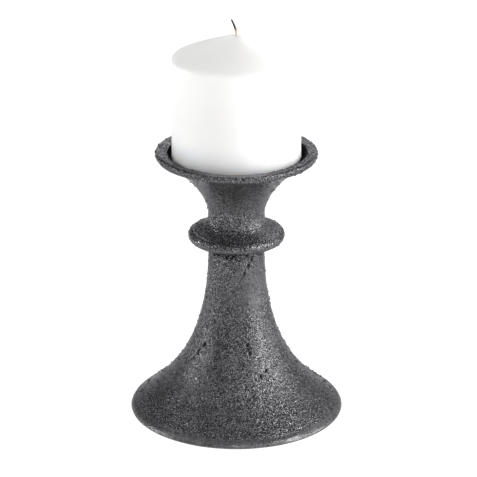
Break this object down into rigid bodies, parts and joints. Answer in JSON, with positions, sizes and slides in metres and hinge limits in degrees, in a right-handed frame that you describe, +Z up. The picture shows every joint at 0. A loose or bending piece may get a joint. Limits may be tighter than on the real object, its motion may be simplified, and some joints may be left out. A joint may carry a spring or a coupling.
{
  "type": "pillar candle stand",
  "caption": "Rough cast metal stand with a flared bell foot, a bead ring and a shallow cup that holds a pillar candle, which lifts out.",
  "frame": {"origin": "centre of the foot on the table surface, at the underside of the felt pads", "axes": "+Z up along the stand's axis; the stand is turned about Z; the wick leans towards -X"},
  "size_m": [0.1282, 0.1282, 0.2435],
  "materials": {
    "cast_metal": "rough as-cast, dark grey, sparkling grain",
    "fastener_steel": "plain zinc-plated",
    "felt": "pressed black felt",
    "wax": "smooth white wax",
    "wick_cotton": "waxed braided cotton, charred at the end",
    "tinplate": "thin tin-plated sheet"
  },
  "bodies": {
    "stand": {"bell_base": "cast_metal", "collar_ring": "cast_metal", "candle_cup": "cast_metal", "tie_rod": "fastener_steel", "clamp_washer": "fastener_steel", "lock_washer": "fastener_steel", "clamp_nut": "fastener_steel", "felt_pad_1": "felt", "felt_pad_2": "felt", "felt_pad_3": "felt", "felt_pad_4": "felt"},
    "candle": {"candle_wax": "wax", "candle_wick": "wick_cotton", "wick_tab": "tinplate"}
  },
  "joints": [
    {"name": "candle_lift", "type": "slide", "parent": "stand", "child": "candle", "axis": [0, 0, 1], "range_m": [0, 0.1]}
  ]
}
